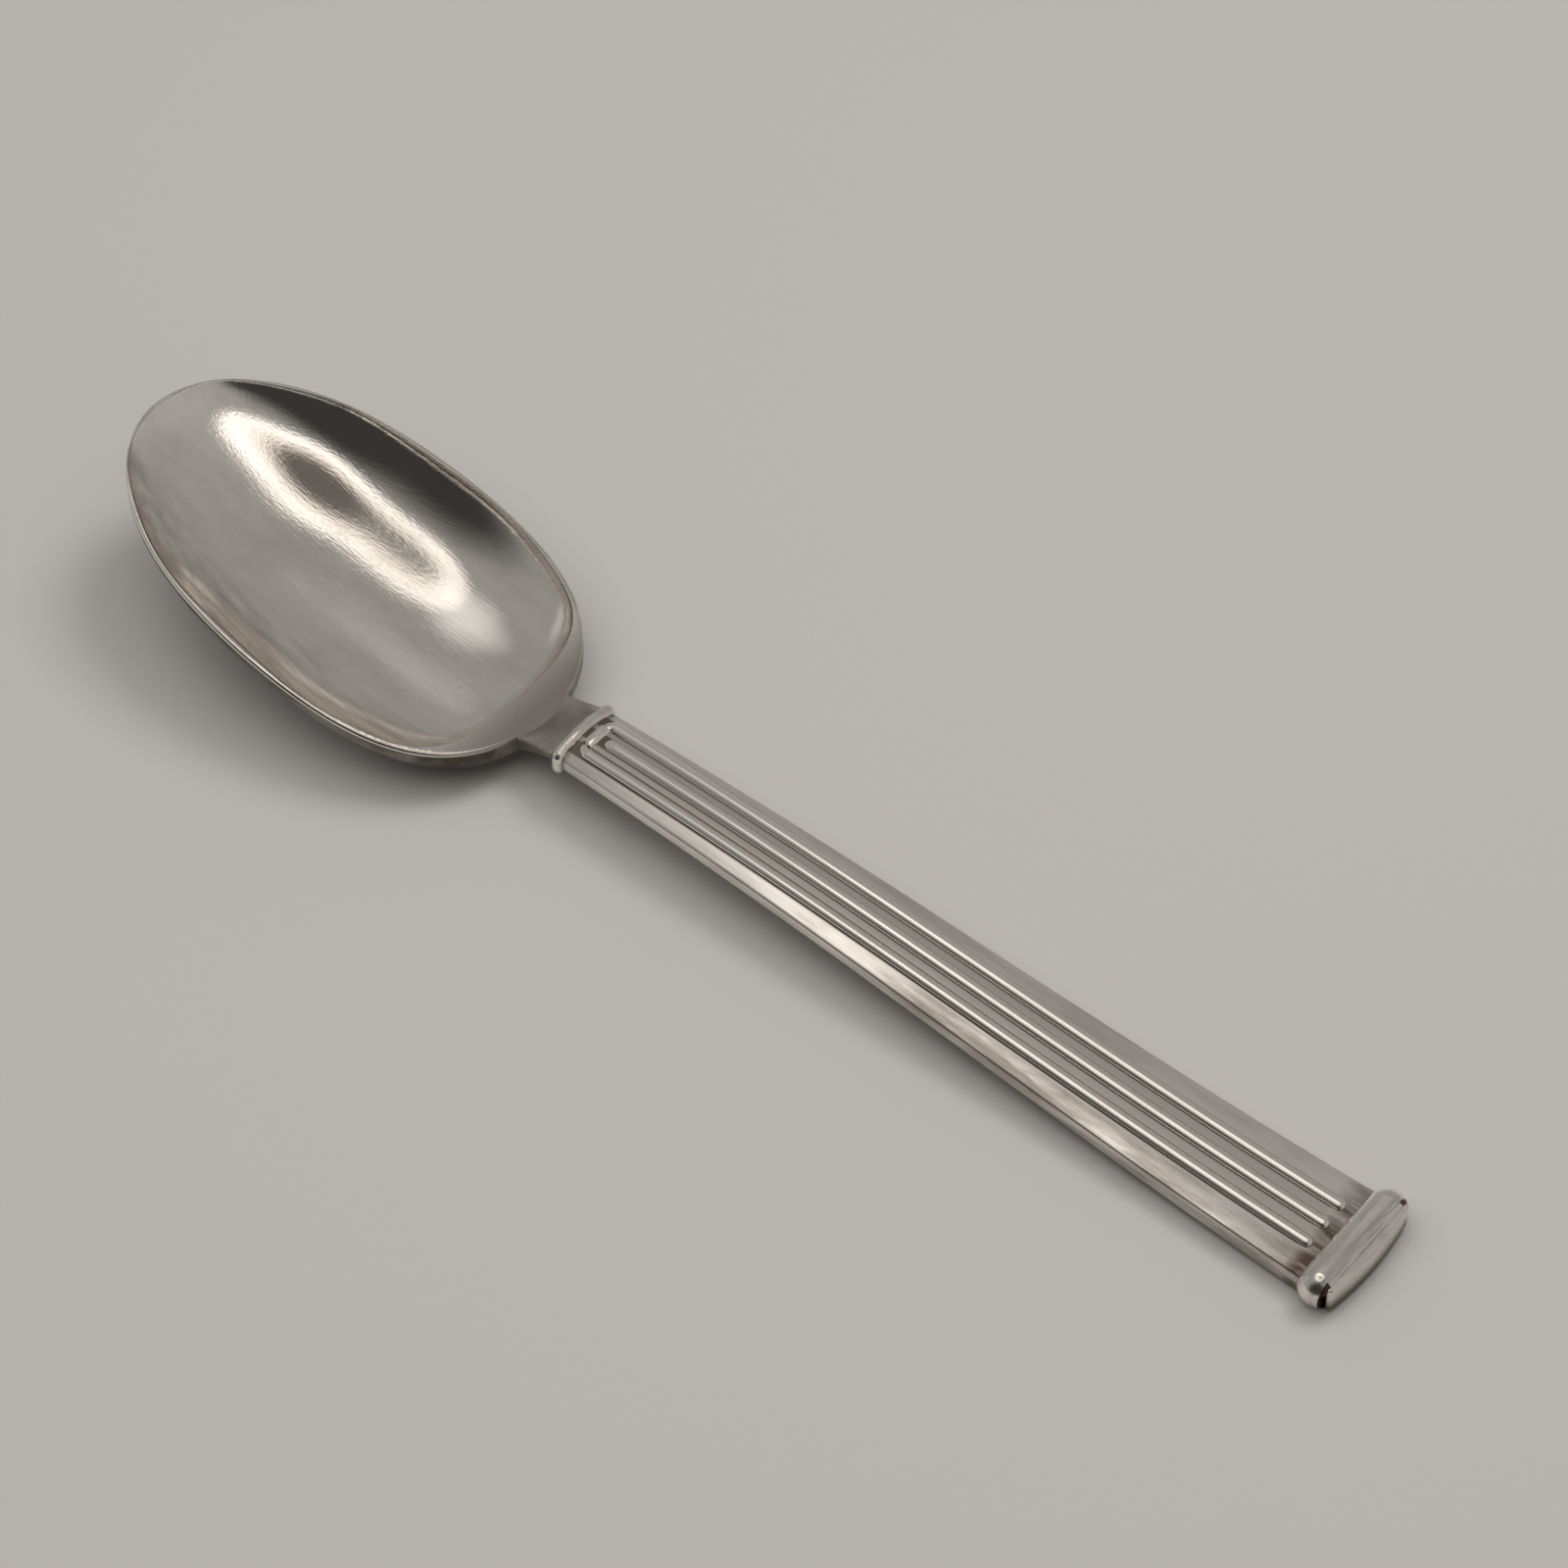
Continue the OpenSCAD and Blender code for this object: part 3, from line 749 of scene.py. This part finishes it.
def among_reeds(tree, place, cloud):
    """Darker at the reeds' feet, the collar and the tips; painted shade on the near strip."""
    parts = add(tree, "SeparateXYZ", links={"Vector": place})
    x, y = parts.outputs["X"], parts.outputs["Y"]
    outer_y = add(tree, "Math", {"operation": "MULTIPLY_ADD", 1: SPREAD,
                                 2: PITCH * MM - SPREAD * at(CROSS_S).x}, {0: x})
    at_collar = add(tree, "MapRange", {"From Min": at(HANDLE_S + 0.1).x,
                                       "From Max": at(HANDLE_S + 0.9).x,
                                       "To Min": 0.6, "To Max": 0.0}, {"Value": x})
    patchy = add(tree, "MapRange", {"From Min": 0.4, "From Max": 0.56, "To Min": 0.35, "To Max": 0.95},
                 {"Value": cloud})
    at_tips = add(tree, "MapRange", {"interpolation_type": "SMOOTHSTEP", "From Min": at(END_S - 5).x,
                                     "From Max": at(END_S - 1).x}, {"Value": x})
    darkened = add(tree, "Math", {"operation": "MULTIPLY"}, {0: at_tips, 1: patchy})
    for zone in (reed_feet(tree, x, y, outer_y), near_strip_shade(tree, x, y, outer_y, cloud), at_collar):
        darkened = add(tree, "Math", {"operation": "MAXIMUM"}, {0: darkened, 1: zone})
    return darkened


# %% Where the bowl and the end are toned
STREAK_MM, END_STREAK_MM = (40, 5 / 3, 5 / 3), (0.625, 25 / 3, 2)


def near_wall(tree, place, cloud):
    """Painted dark reflection, partly tone: long streaks on the near wall, evenly on the flat shoulder.
    """
    facing = add(tree, "SeparateXYZ", links={"Vector": add(tree, "NewGeometry").outputs["Normal"]})
    steep = add(tree, "MapRange", {"interpolation_type": "SMOOTHSTEP", "From Min": 0.1, "From Max": 0.5,
                                   "To Min": 0.0, "To Max": 0.5}, {"Value": facing.outputs["Y"]})
    drawn = add(tree, "Mapping", {"Scale": [1 / (size * MM) for size in STREAK_MM]}, {"Vector": place})
    drawn = add(tree, "TexNoise", {"Scale": 1.0, "Detail": 3.0, "Roughness": 0.4}, {"Vector": drawn})
    streaked = add(tree, "MapRange", {"From Min": 0.3, "From Max": 0.7, "To Min": 0.15, "To Max": 1.0},
                   {"Value": drawn})
    darkened = add(tree, "Math", {"operation": "MULTIPLY"}, {0: steep, 1: streaked})
    parts = add(tree, "SeparateXYZ", links={"Vector": place})
    shoulder = add(tree, "MapRange", {"interpolation_type": "SMOOTHSTEP", "From Min": at(61).x,
                                      "From Max": at(68.5).x, "To Min": 0.0, "To Max": 0.6},
                   {"Value": parts.outputs["X"]})
    return add(tree, "Math", {"operation": "MAXIMUM"}, {0: darkened, 1: shoulder})


def outer_side(tree, place, cloud):
    """Painted shade inside the end roll's two slits, and darker streaks on it towards the plate."""
    parts = add(tree, "SeparateXYZ", links={"Vector": place})
    off = add(tree, "Math", {"operation": "ABSOLUTE"}, {0: parts.outputs["Y"]})
    slit_y, slit_x = (ROLL_L / 2 - SLIT_DEEP) * MM - TINY, at(PLATE_S - SLIT_W).x - TINY
    past = add(tree, "Math", {"operation": "GREATER_THAN", 1: slit_y}, {0: off})
    inside = add(tree, "Math", {"operation": "GREATER_THAN", 1: slit_x}, {0: parts.outputs["X"]})
    slits = add(tree, "Math", {"operation": "MULTIPLY"}, {0: past, 1: inside})
    streaks = add(tree, "Mapping", {"Scale": [1 / (size * MM) for size in END_STREAK_MM]},
                  {"Vector": place})
    streaks = add(tree, "TexNoise", {"Scale": 1.0, "Detail": 2.0}, {"Vector": streaks})
    streaks = add(tree, "MapRange", {"From Min": 0.45, "From Max": 0.65, "To Min": 0.0, "To Max": 0.5},
                  {"Value": streaks})
    outer = add(tree, "MapRange", {"From Min": at(ROLL_S - 0.5).x, "From Max": at(ROLL_S + 1).x},
                {"Value": parts.outputs["X"]})
    streaks = add(tree, "Math", {"operation": "MULTIPLY"}, {0: streaks, 1: outer})
    return add(tree, "Math", {"operation": "MAXIMUM"}, {0: slits, 1: streaks})


def painted_shade_low(tree, place, cloud):
    """Painted shade: the end plate is darker towards the table, for the shadowed floor it mirrors."""
    parts = add(tree, "SeparateXYZ", links={"Vector": place})
    return add(tree, "MapRange", {"From Min": 1.4 * MM, "From Max": 3.4 * MM,
                                  "To Min": 0.9, "To Max": 0.1}, {"Value": parts.outputs["Z"]})


print("the reeds spread by", round(SPREAD * HANDLE_L, 2), "mm over the handle")


# %% Finishes of the bowl and the neck
def dress(piece, *materials):
    """Puts materials in a piece's slots, in the order in which part_skin made them."""
    for k, material in enumerate(materials):
        if k < len(piece.data.materials):
            piece.data.materials[k] = material
        else:
            piece.data.materials.append(material)


# Real scratches are a few hundredths of a millimetre wide. These are drawn wider, or they would blur
# away. Each size is in mm: along the spoon, across it, and up.
LONG_SCRATCH, BOWL_SCRATCH, ACROSS_SCRATCH = (30, 0.3, 0.3), (7, 0.3, 0.3), (0.5, 10, 0.5)

# Silver plate, buffed on a soft wheel and worn by use: a mirror, blurred a little by short scratches
# Its near wall and flat shoulder are darkened with painted dark reflection, partly tone
bowl_plate = silver("Silver_plate_polished_bowl", polish=0.05, even=0.0, haze=0.12,
                    scratch_mm=BOWL_SCRATCH, depth=30, zones=near_wall)
# The same plate on the edge and underneath, seldom polished: dull and brown with tone, and darker
# still with painted shade, for the shadowed table that it mirrors
skin_plate_tone_and_shade = silver("Silver_plate_skin_tone_and_shade", polish=0.22, even=0.7, haze=0.95,
                    scratch_mm=BOWL_SCRATCH, depth=1.5, cloud_mm=(24, 8, 8), tone=SKIN_TONE_AND_SHADE)
# The neck is hard to reach with a cloth: still bright metal, but greyed all over by a thin tone
neck_plate = silver("Silver_plate_polished_neck", polish=0.14, even=0.45, haze=0.6,
                    scratch_mm=BOWL_SCRATCH, depth=1.5, cloud_mm=(5, 5, 5))
dress(bowl, bowl_plate, skin_plate_tone_and_shade)
dress(neck, neck_plate, skin_plate_tone_and_shade)

# %% Finishes of the handle
# Silver plate, rubbed by hands along its length: satin, with long scratches, darker in its corners,
# and with painted shade in streaks on its near strip
dress(handle, silver("Silver_plate_rubbed_handle", polish=0.18, even=0.0, haze=0.22,
                     scratch_mm=LONG_SCRATCH, depth=0.8, zones=among_reeds, cloud_mm=(16, 2.5, 2.5)))
# The bead stands proud, so each polishing brightens it: soft highlights with small grey clouds
dress(collar, silver("Silver_plate_polished_bead", polish=0.16, even=0.0, haze=0.2,
                     scratch_mm=LONG_SCRATCH, depth=0.6, cloud_mm=(3, 3, 3)))
# The reeds' crests are what a cloth meets first: the brightest metal, with a clean line of light
reed_plate = silver("Silver_plate_bright_reeds", polish=0.15, even=0.0, haze=0.05,
                    scratch_mm=LONG_SCRATCH, depth=0.3)
for piece in (near_reed, middle_reed, far_reed, cross_reed):
    dress(piece, reed_plate)

# %% Finishes of the end
# The roll is rubbed crosswise: satin bands, darker in streaks beside the plate. Its slits are filled
# with painted shade
dress(end_roll, silver("Silver_plate_satin_roll", polish=0.15, even=0.0, haze=0.25,
                       scratch_mm=ACROSS_SCRATCH, depth=0.5, zones=outer_side, cloud_mm=(2, 8, 2)))
# Bright along the plate's top, and darker towards the table by painted shade for the floor it mirrors
dress(end_plate, silver("Silver_plate_end_tone_and_shade", polish=0.18, even=0.05, haze=0.3,
                        scratch_mm=ACROSS_SCRATCH, depth=0.5, zones=painted_shade_low, cloud_mm=(2, 8, 2)))

# %% [markdown]
# ## Floor, light and camera
# A polished spoon is mostly a picture of its room, so the room matters as much as the metal. An image
# of a studio would do, but a few soft patches of light can be put just where the real ones show. The
# room is grey, a little lighter past the handle's end, with three pale patches: beside the lamp, past
# the bowl's tip and behind the bowl. It is dim in front and round the lamp, a ring with a dark hole,
# half a metre over the spoon. Two more soft lamps light the floor and give the shadow, and the metal
# doesn't mirror them. The camera's lens, place and turn come from a fit to the real spoon's outline.

# %% The floor
FLOOR_SIZE = 1.6
floor = begin("floor", bpy.ops.mesh.primitive_plane_add, size=FLOOR_SIZE)
bpy.ops.object.mode_set(mode="OBJECT")
# Matt paper, pale and rough: it takes a soft shadow, and fills the metal's underside with pale grey
floor_paper = bpy.data.materials.new("Pale_matt_paper")
floor_paper.use_nodes = True
tree = floor_paper.node_tree
tree.nodes.clear()
paper = add(tree, "BsdfPrincipled", {"Base Color": linear("#B9B6B2"), "Roughness": 0.75})
add(tree, "OutputMaterial", links={"Surface": paper})
dress(floor, floor_paper)
print("floor", FLOOR_SIZE, "m wide")

# %% The room's light
RIPPLE = 0.12  # how far a slow noise bends each direction, so that no patch has a ruled edge
WARM_WHITE = (1.0, 0.97, 0.93, 1.0)
world = bpy.data.worlds.new("Studio")
bpy.context.scene.world = world
world.use_nodes = True
tree = world.node_tree
tree.nodes.clear()
straight = add(tree, "TexCoord").outputs["Generated"]
ripple = add(tree, "TexNoise", {"Scale": 3.0, "Detail": 2.0}, {"Vector": straight})
ripple = add(tree, "VectorMath", {"operation": "SUBTRACT", 1: (0.5, 0.5, 0.5)},
             {0: ripple.outputs["Color"]})
way = add(tree, "VectorMath", {"operation": "MULTIPLY_ADD", 1: (RIPPLE, RIPPLE, RIPPLE)},
          {0: ripple, 2: straight})


def patch(centre, reach, soft, inside, outside):
    """An oval patch of the room, in plan, with one level inside it and another outside."""
    shift = [-c / r for c, r in zip(centre, reach)] + [0]
    moved = add(tree, "Mapping", {"Location": shift, "Scale": (1 / reach[0], 1 / reach[1], 0)},
                {"Vector": way})
    far = add(tree, "VectorMath", {"operation": "LENGTH"}, {0: moved})
    return add(tree, "MapRange", {"interpolation_type": "SMOOTHSTEP", "From Min": 1 - soft,
                                  "From Max": 1 + soft, "To Min": inside, "To Max": outside},
               {"Value": far.outputs["Value"]})


light = patch(centre=(0.9, 0.3), reach=(0.5, 0.9), soft=0.7, inside=0.4, outside=0.31)
front = patch(centre=(0.4, -0.95), reach=(0.85, 0.53), soft=0.3, inside=0.13, outside=1.0)
behind_ring = patch(centre=(0.17, -0.04), reach=(0.27, 0.27), soft=0.3, inside=0.15, outside=1.0)
spill = patch(centre=(-0.28, 0.06), reach=(0.2, 0.24), soft=0.9, inside=0.85, outside=0.0)
side_light = patch(centre=(-0.85, -0.35), reach=(0.12, 0.3), soft=0.95, inside=0.5, outside=0.0)
back_light = patch(centre=(-0.3, 0.53), reach=(0.5, 0.14), soft=0.9, inside=0.43, outside=0.0)
for dim in (front, behind_ring):
    light = add(tree, "Math", {"operation": "MULTIPLY"}, {0: light, 1: dim})
for pale in (spill, side_light, back_light):
    light = add(tree, "Math", {"operation": "MAXIMUM"}, {0: light, 1: pale})
glow = add(tree, "Background", {"Color": WARM_WHITE}, {"Strength": light})
add(tree, "OutputWorld", links={"Surface": glow})
print("world of", len(tree.nodes), "nodes")

# %% The ring lamp
# Places on the lamp's disk are shares of its width. Its dark hole is off the middle, and squeezed.
RING_PLACE, RING_SIZE, RING_POWER = (0.033, -0.015, 0.5), 0.4, 0.44
RING_MIDDLE, HOLE_MIDDLE, HOLE_SQUEEZE = (0.5, 0.5, 0), (0.45, 0.5, 0), (1, 1.3, 0)
ring_data = bpy.data.lights.new("Ring", "AREA")
ring_data.shape, ring_data.size, ring_data.energy = "DISK", RING_SIZE, RING_POWER
ring_data.use_nodes = True
tree = ring_data.node_tree
tree.nodes.clear()
on_disk = add(tree, "NewGeometry").outputs["Parametric"]
shift = [-middle * squeeze for middle, squeeze in zip(HOLE_MIDDLE, HOLE_SQUEEZE)]
from_hole = add(tree, "VectorMath", {"operation": "MULTIPLY_ADD", 1: HOLE_SQUEEZE, 2: shift},
                {0: on_disk})
from_hole = add(tree, "VectorMath", {"operation": "LENGTH"}, {0: from_hole}).outputs["Value"]
from_middle = add(tree, "VectorMath", {"operation": "DISTANCE", 1: RING_MIDDLE}, {0: on_disk})
band = add(tree, "MapRange", {"interpolation_type": "SMOOTHSTEP", "From Min": 0.27, "From Max": 0.32,
                              "To Min": 0.08, "To Max": 0.7}, {"Value": from_hole})
edge = add(tree, "MapRange", {"interpolation_type": "SMOOTHSTEP", "From Min": 0.38, "From Max": 0.46,
                              "To Min": 0.0, "To Max": 0.4}, {"Value": from_hole})
fade = add(tree, "MapRange", {"interpolation_type": "SMOOTHSTEP", "From Min": 0.4, "From Max": 0.5,
                              "To Min": 1.0, "To Max": 0.3}, {"Value": from_middle.outputs["Value"]})
level = add(tree, "Math", {"operation": "ADD"}, {0: band, 1: edge})
level = add(tree, "Math", {"operation": "MULTIPLY"}, {0: level, 1: fade})
warm = add(tree, "MixRGB", {"Color1": (1.0, 0.9, 0.8, 1.0), "Color2": (1.0, 0.98, 0.94, 1.0)},
           {"Fac": edge})
shine = add(tree, "Emission", links={"Color": warm, "Strength": level})
add(tree, "OutputLight", links={"Surface": shine})
ring = bpy.data.objects.new("Ring", ring_data)
bpy.context.scene.collection.objects.link(ring)
ring.location = RING_PLACE
print("ring lamp of", RING_POWER, "W,", RING_SIZE, "m wide")

# %% The two lamps that the metal doesn't mirror
# Each lamp's place and width in metres, and its power in watts
LAMPS = {"Key": ((0.1, 0.55, 0.95), 0.5, 4.3), "Fill": ((-0.25, -0.3, 1.2), 1.6, 7.5)}
for name, (place, size, power) in LAMPS.items():
    lamp_data = bpy.data.lights.new(name, "AREA")
    lamp_data.shape, lamp_data.size, lamp_data.energy = "DISK", size, power
    lamp = bpy.data.objects.new(name, lamp_data)
    bpy.context.scene.collection.objects.link(lamp)
    lamp.visible_glossy = False
    lamp.location = place
    lamp.rotation_euler = Vector(place).to_track_quat("Z", "Y").to_euler()
    print(name, "lamp of", power, "W at", round(Vector(place).length, 2), "m")

# %% The camera
# Focal length and image width in pixels, film width in millimetres, nearest view in metres
FOCAL_PIXELS, IMAGE, FILM, NEAREST = 5013.3, 1600, 36, 0.01
AZIMUTH, ELEVATION, ROLL = (math.radians(a) for a in (39.75, 50.107, -0.633))
TARGET, DISTANCE = Vector((-3.943, 15.349, 0)) * MM, 656.547 * MM
toward = Vector((math.sin(AZIMUTH) * math.cos(ELEVATION), -math.cos(AZIMUTH) * math.cos(ELEVATION),
                 math.sin(ELEVATION)))
right = Vector((math.cos(AZIMUTH), math.sin(AZIMUTH), 0))
above = toward.cross(right)
across_view = right * math.cos(ROLL) + above * math.sin(ROLL)
up_view = above * math.cos(ROLL) - right * math.sin(ROLL)
camera_data = bpy.data.cameras.new("Camera")
camera_data.sensor_width = FILM
camera_data.lens = FOCAL_PIXELS / IMAGE * FILM
camera_data.clip_start = NEAREST
camera = bpy.data.objects.new("Camera", camera_data)
bpy.context.scene.collection.objects.link(camera)
turn = Matrix([list(row) for row in zip(across_view, up_view, toward)])
camera.matrix_world = Matrix.Translation(TARGET + toward * DISTANCE) @ turn.to_4x4()
bpy.context.scene.camera = camera
bpy.context.scene.view_settings.view_transform = "Standard"
print("camera", round(DISTANCE, 3), "m away, with a lens of", round(camera_data.lens, 1), "mm")
